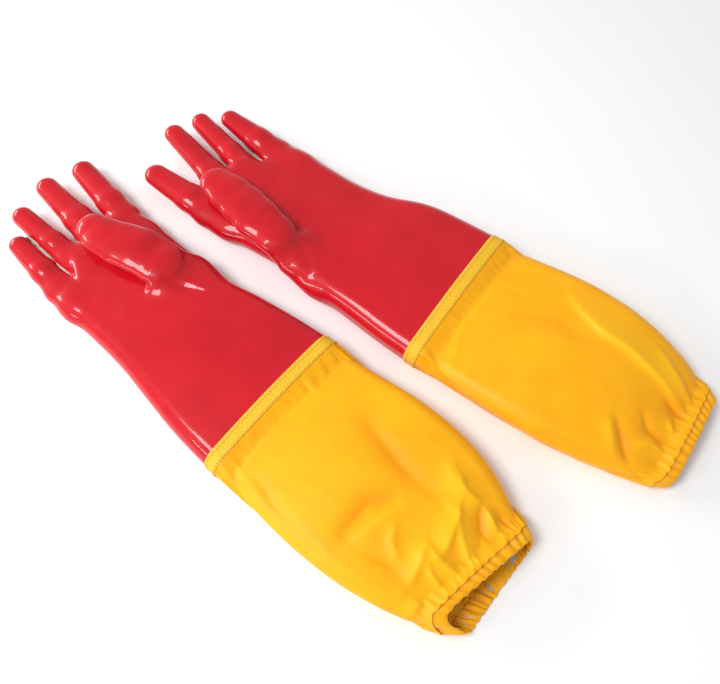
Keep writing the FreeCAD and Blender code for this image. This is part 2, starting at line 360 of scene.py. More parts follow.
def net(distance, low, high, step):
    """(points, quads) of the surface where distance is zero."""
    lines = [np.arange(a, b + step, step) for a, b in zip(low, high)]
    grid = np.stack(np.meshgrid(*lines, indexing="ij"), -1)
    d = distance(grid.reshape(-1, 3)).reshape(grid.shape[:3])
    cells = tuple(n - 1 for n in d.shape)
    total, count = np.zeros((*cells, 3)), np.zeros(cells)
    crossings = []
    for axis in range(3):
        first = tuple(slice(0, -1) if k == axis else slice(None) for k in range(3))
        second = tuple(slice(1, None) if k == axis else slice(None) for k in range(3))
        a, b = d[first], d[second]
        cross = (a < 0) != (b < 0)
        spot = grid[first].copy()
        spot[..., axis] += step * np.where(cross, a / np.where(cross, a - b, 1), 0)
        crossings.append((cross, a < 0))
        others = [k for k in range(3) if k != axis]
        for shift in ((0, 0), (0, 1), (1, 0), (1, 1)):
            part = [slice(None)] * 3
            for k, s in zip(others, shift):
                part[k] = slice(s, s + cells[k])
            part = tuple(part)
            total += spot[part] * cross[part][..., None]
            count += cross[part]
    index = np.full(cells, -1)
    index[count > 0] = np.arange((count > 0).sum())
    points = total[count > 0] / count[count > 0][:, None]
    quads = []
    for axis, (cross, low_inside) in enumerate(crossings):
        b, c = (axis + 1) % 3, (axis + 2) % 3
        at = np.argwhere(cross)
        at = at[(at[:, b] > 0) & (at[:, c] > 0) & (at[:, b] < cells[b]) & (at[:, c] < cells[c])]
        corners = []
        for back_b, back_c in ((1, 1), (0, 1), (0, 0), (1, 0)):
            cell = at.copy()
            cell[:, b] -= back_b
            cell[:, c] -= back_c
            corners.append(index[tuple(cell.T)])
        quad = np.stack(corners, 1)
        facing = low_inside[tuple(at.T)]
        quads += [quad[facing], quad[~facing][:, ::-1]]
    for _ in range(3):
        way, steep = slope(distance, points)
        points = points - way * (distance(points) / steep)[:, None]
    return points, np.concatenate(quads)


# %% [markdown]
# ## Splitting the skin at the digits
#
# The hand's skin bends with five hinges, and a mesh can bend across only one. So it is cut just before
# each bend, where nothing moves yet, into a palm piece and a piece for each digit. Both sides of a cut keep
# the same points and normals, so that no line shows.

# %% Cutting helpers
SPLIT_BACK = 13.0  # how far before a finger's bend its skin is cut
BEND_REACH = 13.0  # how far a bend spreads each way
THUMB_SPLIT = 9.0  # the thumb is cut after its bend, where it lies free of the palm
THUMB_REACH = 26.0


def cut_mesh(points, quads, cuts):
    """Cuts a net along planes, each only where a digit is near, and returns its mesh."""
    mesh = bmesh.new()
    verts = [mesh.verts.new(p) for p in points]
    for quad in quads:
        mesh.faces.new([verts[k] for k in quad])
    for near, spot, way in cuts:
        mesh.faces.ensure_lookup_table()
        centres = np.array([f.calc_center_median() for f in mesh.faces])
        chosen = np.flatnonzero(near(centres) & (np.abs((centres - spot) @ way) < 6.0))
        faces = [mesh.faces[k] for k in chosen]
        geometry = {g for f in faces for g in (f, *f.edges, *f.verts)}
        bmesh.ops.bisect_plane(
            mesh, geom=list(geometry), plane_co=Vector(spot), plane_no=Vector(way), dist=0.02
        )
    mesh.verts.ensure_lookup_table()
    mesh.verts.index_update()
    points = np.array([v.co for v in mesh.verts])
    faces = [[v.index for v in f.verts] for f in mesh.faces]
    centres = np.array([f.calc_center_median() for f in mesh.faces])
    mesh.free()
    return points, faces, centres


def tidy_part(points, normals, faces):
    """Only the points that some faces use."""
    used = sorted({k for face in faces for k in face})
    place = {k: n for n, k in enumerate(used)}
    return points[used], normals[used], [[place[k] for k in face] for face in faces]


def skin_between(points, normals, faces, outer, inner):
    """A closed layer between two depths under a surface."""
    n = len(points)
    edges = {(a, b) for face in faces for a, b in zip(face, face[1:] + face[:1])}
    rim = [(b, a, a + n, b + n) for a, b in edges if (b, a) not in edges]
    both = np.concatenate([points - normals * outer, points - normals * inner])
    inside = [[k + n for k in reversed(face)] for face in faces]
    return both, np.concatenate([normals, -normals]), [*faces, *inside, *rim]


def new_piece(name, glove, points, faces, finish, normals=None):
    """A mesh object from points in a glove's frame."""
    placed = glove.out(points)
    faces = [list(face) if glove.side > 0 else list(face)[::-1] for face in faces]
    mesh = bpy.data.meshes.new(name)
    mesh.from_pydata(placed.tolist(), [], faces)
    mesh.shade_smooth()
    if normals is not None:
        turned = (glove.out(points + normals) - placed) / MM
        mesh.normals_split_custom_set_from_vertices(turned.tolist())
    mesh.materials.append(finish)
    piece = bpy.data.objects.new(name, mesh)
    bpy.context.scene.collection.objects.link(piece)
    return piece


# %% [markdown]
# ## Writing finishes as sums
#
# A finish is a graph of nodes. Wrapping a socket in a class that knows plus, minus and times lets the graph
# be written as ordinary sums, and one method adds every other node by its type, settings and inputs.

# %% A small language for finishes


class Value:
    """A socket that can be used in a sum."""

    def __init__(self, finish, socket):
        self.finish, self.socket = finish, socket

    def math(self, operation, a, b=0.0):
        return self.finish.node("ShaderNodeMath", {"operation": operation}, {0: a, 1: b})

    def __add__(self, other):
        return self.math("ADD", self, other)

    def __sub__(self, other):
        return self.math("SUBTRACT", self, other)

    def __mul__(self, other):
        return self.math("MULTIPLY", self, other)

    __radd__ = __add__
    __rmul__ = __mul__

    def sine(self):
        return self.math("SINE", self)

    def absolute(self):
        return self.math("ABSOLUTE", self)

    def clipped(self):
        settings = {"operation": "ADD", "use_clamp": True}
        return self.finish.node("ShaderNodeMath", settings, {0: self, 1: 0.0})


class Finish:
    """A material that is written as sums."""

    def __init__(self, name):
        self.material = bpy.data.materials.new(name)
        self.material.use_nodes = True
        self.tree = self.material.node_tree
        self.surface = self.tree.nodes["Principled BSDF"]
        self.place = self.node("ShaderNodeTexCoord", output="Object")

    def node(self, kind, settings=None, inputs=None, output=0):
        made = self.tree.nodes.new(kind)
        for key, value in (settings or {}).items():
            setattr(made, key, value)
        for key, value in (inputs or {}).items():
            if isinstance(value, Value):
                self.tree.links.new(value.socket, made.inputs[key])
            else:
                made.inputs[key].default_value = value
        return Value(self, made.outputs[output])

    def noise(self, size_mm, detail=2.0, roughness=0.5, stretch=(1, 1, 1)):
        """Cloudy noise with features of a given size."""
        place = self.node(
            "ShaderNodeVectorMath", {"operation": "MULTIPLY"}, {0: self.place, 1: stretch}
        )
        inputs = {"Vector": place, "Scale": 1000.0 / size_mm, "Detail": detail, "Roughness": roughness}
        return self.node("ShaderNodeTexNoise", {}, inputs, "Fac")

    def attribute(self, name, axis):
        """One number of a vector that the mesh carries."""
        vector = self.node("ShaderNodeAttribute", {"attribute_name": name}, output="Vector")
        return self.node("ShaderNodeSeparateXYZ", {}, {0: vector}, axis)

    def mix(self, factor, a, b):
        """Colour a where factor is 0 and b where it is 1."""
        inputs = {0: factor, 6: a, 7: b}
        return self.node("ShaderNodeMix", {"data_type": "RGBA"}, inputs, 2)

    def bump(self, height, depth_mm, strength=1.0):
        inputs = {"Height": height, "Distance": depth_mm * MM, "Strength": strength}
        return self.node("ShaderNodeBump", {}, inputs)

    def set(self, **values):
        """Sets or links the shader's sockets, by name with underscores."""
        for key, value in values.items():
            socket = self.surface.inputs[key.replace("_", " ")]
            if isinstance(value, Value):
                self.tree.links.new(value.socket, socket)
            else:
                socket.default_value = value
        return self


# %% [markdown]
# ## The glove's finishes
#
# Dipped PVC is glossy with a slow waviness and a faint knit showing through. Its colour barely changes,
# its gloss does. The sleeve is a woven cloth with a coating: bright yellow and half glossy, with painted
# shade in the valleys of its folds, a deeper orange. The band is the same cloth, paler because it is stretched,
# with fine slanting ribs.

# %% Red dipped skin


def dipped_pvc():
    f = Finish("red_dipped_pvc")
    cloud = f.noise(45, 3.0)
    fine = f.noise(13, 3.0)
    knit_u = (f.attribute("own", "X") * (2 * math.pi / 2.4)).sine()
    knit_v = (f.attribute("own", "Y") * (2 * math.pi / 2.0)).sine()
    colour = f.mix(cloud, (0.44, 0.003, 0.010, 1), (0.66, 0.005, 0.015, 1))
    height = fine * 0.20 + knit_u * knit_v * 0.05 + f.noise(2.2, 2.0) * 0.05
    f.set(
        Base_Color=colour,
        Roughness=0.24 + f.noise(18, 4.0) * 0.16,
        Coat_Weight=0.5 + cloud * 0.3,
        Coat_Roughness=0.05,
        Coat_IOR=1.45,
        Specular_IOR_Level=0.15,
        Normal=f.bump(height, 0.35, 0.8),
    )
    return f.material


# %% Knitted liner


def knitted_cotton():
    f = Finish("cream_knit")
    column = (f.attribute("own", "X") * (2 * math.pi / 1.6)).sine()
    row = (f.attribute("own", "Y") * (2 * math.pi / 1.3) + column.absolute() * 1.8).sine()
    loops = row * 0.5 + column.absolute() * 0.5
    colour = f.mix((loops * 0.5 + 0.5).clipped(), (0.55, 0.50, 0.40, 1), (0.80, 0.76, 0.66, 1))
    f.set(
        Base_Color=colour,
        Roughness=0.85 + f.noise(4) * 0.1,
        Sheen_Weight=0.3,
        Sheen_Roughness=0.5,
        Normal=f.bump(loops, 0.5, 0.9),
    )
    return f.material


# %% Yellow coated cloth


def coated_cloth(name, light, deep, rough):
    """Woven cloth with a half-glossy coating: light and deep are its two colours, deep also as painted shade in
    fold valleys.
    """
    f = Finish(name)
    warp = (f.attribute("weave", "X") * (2 * math.pi / 0.9)).sine()
    weft = (f.attribute("weave", "Y") * (2 * math.pi / 0.9)).sine()
    cloud = f.noise(60, 3.0)
    streak = f.noise(9, 4.0, stretch=(1, 0.25, 1))
    height = f.attribute("weave", "Z")  # how far a fold stands up, in mm, used below to paint shade into the folds' valleys
    # Painted shade: the colour turns deeper orange where a fold sinks and paler where it stands up, on top of the
    # noise.
    colour = f.mix((cloud * 0.6 + streak * 0.4 - height * 0.10 - 0.2).clipped(), light, deep)
    f.set(
        Base_Color=colour,
        Roughness=rough + streak * 0.12,
        Specular_IOR_Level=0.22,
        Sheen_Weight=0.03,
        Sheen_Roughness=0.4,
        Normal=f.bump(warp * weft * 0.10 + streak * 0.4 + f.noise(3, 3.0) * 0.2, 0.3, 0.6),
    )
    return f


def sleeve_cloth():
    return coated_cloth("yellow_coated_cloth", (1.0, 0.50, 0.006, 1), (0.90, 0.27, 0.001, 1), 0.36).material


def band_cloth():
    f = coated_cloth("pale_ribbed_band", (0.93, 0.55, 0.03, 1), (0.86, 0.46, 0.02, 1), 0.48)
    slant = f.attribute("weave", "X") + f.attribute("weave", "Y") * 0.7
    ribs = (slant * (2 * math.pi / 1.9)).sine() * 0.5 + 0.5
    f.set(Normal=f.bump(ribs * 0.7 + f.noise(2, 3.0) * 0.2, 0.3, 0.8))
    f.set(Base_Color=f.mix(ribs, (0.78, 0.43, 0.018, 1), (0.92, 0.55, 0.03, 1)))
    return f.material


# %% Thread and elastic


def sewing_thread():
    f = Finish("yellow_thread")
    ply = (f.attribute("weave", "Y") * (2 * math.pi / 0.9) + f.attribute("weave", "X") * 3.0).sine()
    colour = f.mix((ply * 0.5 + 0.5).clipped(), (0.72, 0.40, 0.05, 1), (0.95, 0.62, 0.12, 1))
    f.set(Base_Color=colour, Roughness=0.6 + ply * 0.05, Sheen_Weight=0.4, Normal=f.bump(ply, 0.1, 0.8))
    return f.material


def elastic_tape():
    f = Finish("woven_elastic")
    cords = (f.attribute("weave", "Y") * (2 * math.pi / 1.4)).sine()
    colour = f.mix((cords * 0.5 + 0.5).clipped(), (0.62, 0.58, 0.50, 1), (0.86, 0.83, 0.76, 1))
    f.set(Base_Color=colour, Roughness=0.75 + cords * 0.05, Sheen_Weight=0.3, Normal=f.bump(cords, 0.3, 0.8))
    return f.material


RED, KNIT, YELLOW, PALE = dipped_pvc(), knitted_cotton(), sleeve_cloth(), band_cloth()
THREAD, ELASTIC = sewing_thread(), elastic_tape()
print("finishes", [made.name for made in (RED, KNIT, YELLOW, PALE, THREAD, ELASTIC)])

# %% [markdown]
# ## Skins and liners
#
# The skin is 1.4 mm thick and the liner 0.9 mm. Both are layers under the same surface, so the liner is a
# coarser copy, set a little deeper. Every mesh carries its place in the glove's own frame, which the
# finishes read: it goes with the mesh when a digit bends.

# %% Make the hands
NET_STEP = 2.0
LINER_STEP = 4.0
GAUNTLET_END = SLEEVE + 0.6
SKIN = (0.0, 1.4)
LINER = (1.5, 2.4)


def carry(piece, name, vectors):
    """Gives each point of a mesh a vector that its finish reads."""
    data = piece.data.attributes.new(name, "FLOAT_VECTOR", "POINT")
    data.data.foreach_set("vector", np.asarray(vectors, np.float32).ravel())


def split_place(digit):
    """Where a digit's skin is cut, and where its bend starts and ends."""
    if digit.name == "thumb":
        spot = digit.bend + digit.ahead * THUMB_SPLIT
        return spot, spot, spot + digit.ahead * THUMB_REACH
    start = digit.bend - digit.ahead * BEND_REACH
    return digit.bend - digit.ahead * SPLIT_BACK, start, digit.bend + digit.ahead * BEND_REACH


def make_hand(glove, layer, step, depths, finish, start):
    """One layer of the hand, as a palm piece and five digit pieces."""

    def form(p):
        return hand_distance(glove, p)

    points, quads = net(form, (-96, start - 8, -3), (96, 664, 56), step)

    def on_digit(c, digit):
        limit = 4.0 if digit.name != "thumb" else np.minimum(4.0, np.abs(tube_distance(glove, c)))
        return np.abs(digit.distance(c)) < limit

    cuts = [(lambda c: np.full(len(c), True), np.array([0, start, 0.0]), np.array([0, 1.0, 0]))]
    for digit in glove.digits.values():
        cuts.append((lambda c, digit=digit: on_digit(c, digit), split_place(digit)[0], digit.ahead))
    points, faces, centres = cut_mesh(points, quads, cuts)
    owner = np.full(len(faces), -1)
    owner[centres[:, 1] > start] = 0
    for number, digit in enumerate(glove.digits.values(), 1):
        ahead = (centres - split_place(digit)[0]) @ digit.ahead > 0
        owner[ahead & on_digit(centres, digit)] = number
    normals = slope(form, points)[0]
    for number, name in enumerate(("hand", *DIGITS)):
        mine = [faces[k] for k in np.flatnonzero(owner == number)]
        part, part_normals, part_faces = tidy_part(points, normals, mine)
        body, body_normals, body_faces = skin_between(part, part_normals, part_faces, *depths)
        body[:, 2] = np.maximum(body[:, 2], BENCH_GAP)
        piece = new_piece(f"{glove.name}_{name}_{layer}_soft", glove, body, body_faces, finish, body_normals)
        carry(piece, "own", body)
        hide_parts(f"{glove.name}_{name}_{layer}")
        if name == "hand":
            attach(piece, f"{glove.name}_hand")
        else:
            _, first, last = split_place(glove.digits[name])
            first, last = glove.out([first, last])
            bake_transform(piece)
        print(piece.name, len(body), "points")


for glove in gloves.values():
    make_hand(glove, "skin", NET_STEP, SKIN, RED, GAUNTLET_END)
    make_hand(glove, "liner", LINER_STEP, LINER, KNIT, GAUNTLET_END + 6)

# %% [markdown]
# ## Rings round the tube
#
# Band, sleeve, hem and threads are all built from rings. A ring starts at the thumb edge, where the real
# sleeve has its seam, runs over the top to the other edge and comes back underneath. Its points are evenly
# spaced along the cloth.

# %% Rings


def ring(glove, v, count, offset=0.0):
    """Evenly spaced points round the tube at v, and the length round it."""
    dense = 4 * count
    angle = np.linspace(0, 2 * np.pi, dense, endpoint=False)
    low, high, top = (float(x[0]) for x in glove.outline(np.array([float(v)])))
    u = (low + high) / 2 + (high - low) / 2 * np.sign(np.cos(angle)) * np.abs(np.cos(angle)) ** 0.6
    z = top / 2 + top / 2 * np.sign(np.sin(angle)) * np.abs(np.sin(angle)) ** 0.6
    p = np.stack([u, np.full(dense, float(v)), z], 1)
    for _ in range(5):
        way, steep = slope(lambda q: tube_distance(glove, q), p)
        way = way * (1, 0, 1)
        p = p - way * ((tube_distance(glove, p) - offset) / steep)[:, None]
    edge = int(np.argmax(p[:, 0] - 0.02 * np.abs(p[:, 2] - top * 0.45)))
    p = np.roll(p, -edge, axis=0)
    closed = np.concatenate([p, p[:1]])
    run = np.concatenate([[0], np.cumsum(np.linalg.norm(np.diff(closed, axis=0), axis=1))])
    even = np.linspace(0, run[-1], count, endpoint=False)
    return np.stack([np.interp(even, run, closed[:, k]) for k in range(3)], 1), run[-1]


def grid_faces(rows, columns, closed=True):
    """Quads between rows of points, and round them if closed."""
    last = columns if closed else columns - 1
    faces = []
    for r in range(rows - 1):
        for c in range(last):
            d = (c + 1) % columns
            faces.append((r * columns + c, r * columns + d, (r + 1) * columns + d, (r + 1) * columns + c))
    return faces


def sheet_normals(points):
    """Outward normals of a grid of ring points."""
    around = np.roll(points, -1, axis=1) - np.roll(points, 1, axis=1)
    along = np.gradient(points, axis=0)
    normal = np.cross(along, around)
    return normal / np.maximum(np.linalg.norm(normal, axis=2, keepdims=True), 1e-9)


def cloth_layer(points, thick, around_mm, along_mm):
    """A closed layer of cloth on a grid of ring points: (points, faces, weave vectors)."""
    rows, columns = points.shape[:2]
    normals = sheet_normals(points).reshape(-1, 3)
    flat = points.reshape(-1, 3)
    faces = [face[::-1] for face in grid_faces(rows, columns)]
    layer, _, faces = skin_between(flat, normals, [list(f) for f in faces], 0.0, thick)
    weave = np.stack(
        [
            np.tile(np.linspace(0, around_mm, columns), rows),
            np.repeat(np.linspace(0, along_mm, rows), columns),
            np.zeros(rows * columns),
        ],
        1,
    )
    return layer, faces, np.concatenate([weave, weave])


# %% [markdown]
# ## The band over the join
#
# The sleeve's edge is folded under and sewn to the gauntlet with two rows of stitches. The fold shows as a
# paler band, 14 mm deep, with slanting ribs where the needle pulled it in.

# %% Make the bands and their stitches
BAND = 14.0
BAND_COUNT = 240
BAND_ROWS = 15
STITCHED_ROWS = (2, 11)
AROUND = 380  # the width that a weave is drawn over, round the cloth
STITCH_PITCH = 3.4
STITCH_SHARE = 0.72  # a stitch's part of its pitch
STITCH_THICK = 0.75


def stitch_row(spots, ways, ups, length, thick):
    """Short stitches: each a lozenge that dives into the cloth at both ends."""
    points, faces, weave = [], [], []
    profile = ((-0.5, 0.15, -0.3), (-0.3, 0.8, 0.25), (0.0, 1.0, 0.45), (0.3, 0.8, 0.25), (0.5, 0.15, -0.3))
    for spot, way, up in zip(spots, ways, ups):
        side = np.cross(way, up)
        first = len(points)
        for along, wide, rise in profile:
            centre = spot + way * along * length + up * rise * thick
            for angle in np.linspace(0, 2 * np.pi, 6, endpoint=False):
                off = (side * math.cos(angle) + up * math.sin(angle)) * wide * thick / 2
                points.append(centre + off)
                weave.append((angle, along * length, 0))
        faces += [[first + k for k in face] for face in grid_faces(len(profile), 6)]
        faces.append([first + k for k in range(6)][::-1])
        faces.append([first + 6 * (len(profile) - 1) + k for k in range(6)])
    return np.array(points), faces, np.array(weave)


def sewn_row(name, glove, line, pitch, node):
    """A row of stitches along a line of (point, upward way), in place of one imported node."""
    line = np.asarray(line)
    run = np.concatenate([[0], np.cumsum(np.linalg.norm(np.diff(line[:, :3], axis=0), axis=1))])
    count = int(run[-1] / pitch)
    at = (np.arange(count) + 0.5) * run[-1] / count

    def read(x):
        return np.stack([np.interp(x, run, line[:, k]) for k in range(line.shape[1])], 1)

    here, back, on = read(at), read(at - 0.8), read(at + 0.8)
    ways = on[:, :3] - back[:, :3]
    ways /= np.linalg.norm(ways, axis=1, keepdims=True)
    ups = here[:, 3:6] / np.linalg.norm(here[:, 3:6], axis=1, keepdims=True)
    points, faces, weave = stitch_row(here[:, :3], ways, ups, pitch * STITCH_SHARE, STITCH_THICK)
    points[:, 2] = np.maximum(points[:, 2], BENCH_GAP)
    piece = new_piece(name, glove, points, faces, THREAD)
    carry(piece, "weave", weave)
    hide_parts(node)
    return piece


def make_band(glove):
    rows = np.linspace(GAUNTLET_END - 0.4, SLEEVE + BAND, BAND_ROWS)
    lift = 0.8 + 0.1 * np.sin(np.linspace(0, np.pi, BAND_ROWS))
    lift = lift - 0.25 * (np.linspace(-1, 1, BAND_ROWS) ** 8)
    points = np.stack([ring(glove, v, BAND_COUNT, up)[0] for v, up in zip(rows, lift)])
    phase = np.arange(BAND_ROWS)[:, None] * 0.9
    wave = 0.08 * np.sin(np.arange(BAND_COUNT) * 2 * np.pi / 4 + phase)
    points = points + sheet_normals(points) * wave[..., None]
    layer, faces, weave = cloth_layer(points, 0.5, AROUND, BAND)
    layer[:, 2] = np.maximum(layer[:, 2], BENCH_GAP)
    piece = new_piece(f"{glove.name}_join_band_soft", glove, layer, faces, PALE)
    carry(piece, "weave", weave)
    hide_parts(f"{glove.name}_join_band")
    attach(piece, f"{glove.name}_hand")
    lines = []
    for row in STITCHED_ROWS:
        spots = points[row] + sheet_normals(points)[row] * 0.15
        lines.append(np.concatenate([spots, sheet_normals(points)[row]], 1))
    for number, line in enumerate(lines, 1):
        name, node = f"{glove.name}_join_stitches_{number}", f"{glove.name}_join_stitching"
        sewn = sewn_row(name, glove, np.concatenate([line, line[:1]]), STITCH_PITCH, node)
        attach(sewn, f"{glove.name}_hand")
    print(piece.name, len(layer), "points")


for glove in gloves.values():
    make_band(glove)

# %% [markdown]
# ## The sleeve
#
# The sleeve is a straight tube of cloth that has been drawn in at its hem, so it has more cloth than room:
# that is where its folds come from. It starts as the tube's own rings, with small pleats near the hem and
# the large folds pressed in. A cloth simulation then lets it settle on the bench between its two sewn
# ends.

# %% Sleeve sizes and folds
HEM = 16.0  # depth of the casing
PLEATS = 30
SLEEVE_COUNT = 216
SLEEVE_ROWS = 120
CLOTH = 0.6
ALONG = 245  # the length that the sleeve's weave is drawn over
# Where the top of the hem ends, in v: the right cuff gapes, and more so at its little-finger side.
MOUTH = {"right": (14.0, -0.19), "left": (0.5, -0.03)}
TOP_DEPTH = 10.0  # the part of the casing that shows on top, where it curls over the mouth
# A fold is (line of (u, v), width on its left, width on its right, height). The line looks along the way
# that its points run. A fold with one narrow side is a crisp edge, and a height below 0 is a valley.
FOLDS = {
    "right": (
        (((26, 66), (8, 60), (-8, 55), (-20, 57)), 4, 16, 6.0),
        (((24, 66), (9, 52), (-2, 37), (-9, 22)), 9, 3.5, 4.5),
        (((-15, 72), (-19, 57), (-18, 39), (-15, 24)), 3.5, 9, 4.5),
        (((-15, 72), (-34, 64), (-52, 61)), 3.5, 12, 3.5),
        (((-27, 62), (-33, 53), (-35, 42), (-36, 28)), 4, 4, 4.0),
        (((-54, 46), (-69, 45), (-82, 46)), 4, 9, 3.5),
        (((52, 84), (45, 75), (44, 65), (45, 54)), 4, 12, 4.5),
        (((44, 54), (33, 47), (20, 37)), 4, 5, -4.5),
        (((44, 50), (38, 36), (33, 26)), 3.5, 6, 3.5),
        (((50, 38), (46, 27)), 5, 5, -3.5),
        (((40, 184), (32, 160), (25, 133), (22, 107), (24, 88)), 12, 12, -4.5),
        (((4, 113), (-22, 130), (-44, 131), (-62, 129)), 9, 9, -4.5),
        (((2, 104), (-28, 114), (-56, 121)), 12, 5, 2.5),
        (((36, 234), (14, 239), (-18, 240), (-45, 239), (-72, 235)), 4, 6, 1.3),
        (((-67, 220), (-76, 197), (-82, 168), (-83, 134)), 6, 6, -2.5),
        (((-20, 102), (-34, 94), (-42, 80)), 5, 5, 2.5),
        (((-58, 104), (-51, 89), (-47, 68)), 3.5, 3.5, -2.2),
        (((54, 102), (49, 89), (46, 78)), 9, 9, 2.5),
        (((22, 79), (26, 71), (25, 60)), 4, 4, 2.5),
    ),
    "left": (
        (((-58, 168), (-46, 150), (-38, 124), (-36, 90), (-30, 57), (-20, 30)), 3.5, 15, 4.5),
        (((-58, 70), (-45, 45), (-30, 20)), 9, 3.5, 3.0),
        (((-17, 42), (-9, 18)), 5, 5, -3.5),
        (((-1, 30), (12, 20)), 3, 3, 2.5),
        (((30, 72), (49, 55), (62, 41)), 4.5, 4.5, -4.5),
        (((36, 78), (62, 58)), 7, 7, 2.5),
        (((9, 54), (21, 43), (22, 24)), 4, 4, -3.5),
        (((44, 48), (30, 33), (31, 20)), 3, 3, 3.0),
        (((84, 122), (77, 84), (70, 47)), 6, 6, -2.5),
        (((-43, 234), (3, 236), (39, 236), (80, 222)), 6, 4, 1.3),
        (((-6, 206), (-28, 165), (-20, 122)), 13, 13, -2.5),
    ),
}


def around_top(fraction):
    """1 on the top of the tube, 0 underneath, for places round a ring."""
    return ease(np.sin(2 * np.pi * fraction) * 1.6 + 0.15)


def pleated(fraction, phase=0.0):
    """Round crests with narrow grooves between them, from 0 to 1, one for each pleat."""
    drift = 0.9 * np.sin(2 * np.pi * 3 * fraction + 1) + 0.6 * np.sin(2 * np.pi * 7 * fraction + 2)
    return np.abs(np.sin(np.pi * PLEATS * fraction + drift + phase)) ** 0.7


def mouth(glove, u, fraction):
    """Where the hem's free edge lies round the cuff, in v."""
    middle, skew = MOUTH[glove.name]
    return (middle + skew * np.clip(u, -45, 45)) * around_top(fraction)


def fold_height(place, line, left, right, height):
    """How high one fold stands at places in u and v."""
    nearest = np.full(place.shape[:-1], 1e9)
    value = np.zeros(place.shape[:-1])
    lengths = [math.dist(a, b) for a, b in zip(line, line[1:])]
    so_far = 0.0
    for (a, b), length in zip(zip(line, line[1:]), lengths):
        a, run = np.array(a, float), np.array(b, float) - a
        off = place - a
        t = np.clip(off @ run / (run @ run), 0, 1)
        off = off - t[..., None] * run
        far = np.hypot(off[..., 0], off[..., 1])
        side = run[0] * off[..., 1] - run[1] * off[..., 0]
        width = np.where(side > 0, left, right)
        along = (so_far + t * length) / sum(lengths)
        fade = 0.25 + 0.75 * np.sin(np.pi * along) ** 0.7
        here = height * fade * np.exp(-((far / width) ** 1.35))
        value = np.where(far < nearest, here, value)
        nearest = np.minimum(far, nearest)
        so_far += length
    return value


def sleeve_form(glove):
    """The sleeve's ring points before it settles, and how high its folds stand."""
    fraction = np.arange(SLEEVE_COUNT) / SLEEVE_COUNT
    places = np.linspace(0, SLEEVE + 1, 130)
    table = np.array([ring(glove, v, SLEEVE_COUNT, 0.2)[0] for v in places])
    on_top = around_top(fraction)
    hem_u = table[8, :, 0]
    start = mouth(glove, hem_u, fraction) + HEM + (TOP_DEPTH - HEM) * on_top
    steps = np.linspace(0, 1, SLEEVE_ROWS) ** 1.2
    points = np.zeros((SLEEVE_ROWS, SLEEVE_COUNT, 3))
    for c in range(SLEEVE_COUNT):
        v = start[c] + steps * (SLEEVE + 0.8 - start[c])
        for k in (0, 2):
            points[:, c, k] = np.interp(v, places, table[:, c, k])
        points[:, c, 1] = v
    normals = sheet_normals(points)
    behind = points[..., 1] - start
    pleat = pleated(fraction, 0.0) * 2 - 1.2
    half = np.sin(np.pi * PLEATS * fraction + 2.0 * np.sin(2 * np.pi * 2 * fraction + 1))
    gather = 1.0 * pleat * np.exp(-behind / 8) + 1.4 * half * np.exp(-behind / 16) * ease(behind / 8)
    rise = np.zeros(points.shape[:2])
    for line, left, right, height in FOLDS[glove.name]:
        rise += fold_height(points[..., :2], line, left, right, height)
    rise *= on_top * ease((points[..., 2] - 6) / 14) * ease(behind / 10) * ease((SLEEVE - points[..., 1]) / 8)
    return points + normals * (gather + rise)[..., None], rise


# %% Let the cloth settle


def settle(glove, points, frames=22, most=7.0):
    """Runs a cloth simulation on the sleeve between its two sewn ends."""
    rows, columns = points.shape[:2]
    faces = [face[::-1] for face in grid_faces(rows, columns)]
    piece = new_piece(f"{glove.name}_settling", glove, points.reshape(-1, 3), faces, YELLOW)
    held = piece.vertex_groups.new(name="held")
    held.add([*range(columns), *range((rows - 1) * columns, rows * columns)], 1.0, "REPLACE")
    slack = piece.vertex_groups.new(name="slack")
    for r in range(rows):
        amount = float(math.exp(-r / (rows * 0.33)))
        slack.add(list(range(r * columns, (r + 1) * columns)), amount, "REPLACE")
    bench = new_piece(
        "settling_bench", glove, np.array([(-300, -100, 0), (300, -100, 0), (300, 500, 0), (-300, 500, 0.0)]),
        [(0, 1, 2, 3)], YELLOW,
    )
    bench.modifiers.new("bench", "COLLISION")
    bench.collision.thickness_outer = 0.0006
    cloth = piece.modifiers.new("cloth", "CLOTH")
    how = cloth.settings
    how.quality = 6
    how.mass = 0.02
    how.tension_stiffness = how.compression_stiffness = 8.0
    how.shear_stiffness = 3.0
    how.bending_stiffness = 0.02
    how.air_damping = 4.0
    how.vertex_group_mass = "held"
    how.vertex_group_shrink = "slack"
    how.shrink_min = 0.0
    how.shrink_max = -0.10
    how.use_pressure = True
    how.uniform_pressure_force = 0.06
    cloth.collision_settings.distance_min = 0.0006
    scene = bpy.context.scene
    for number in range(1, frames + 1):
        scene.frame_set(number)
    settled = piece.evaluated_get(bpy.context.evaluated_depsgraph_get()).to_mesh()
    moved = glove.own(np.array([v.co for v in settled.vertices])) - points.reshape(-1, 3)
    scene.frame_set(1)
    far = np.linalg.norm(moved, axis=1, keepdims=True)
    print("settled", glove.name, "mean", far.mean().round(2), "most", far.max().round(2))
    moved = moved * np.minimum(1, most / np.maximum(far, 1e-6))
    for made in (piece, bench):
        mesh = made.data
        bpy.data.objects.remove(made)
        bpy.data.meshes.remove(mesh)
    return points + moved.reshape(points.shape)


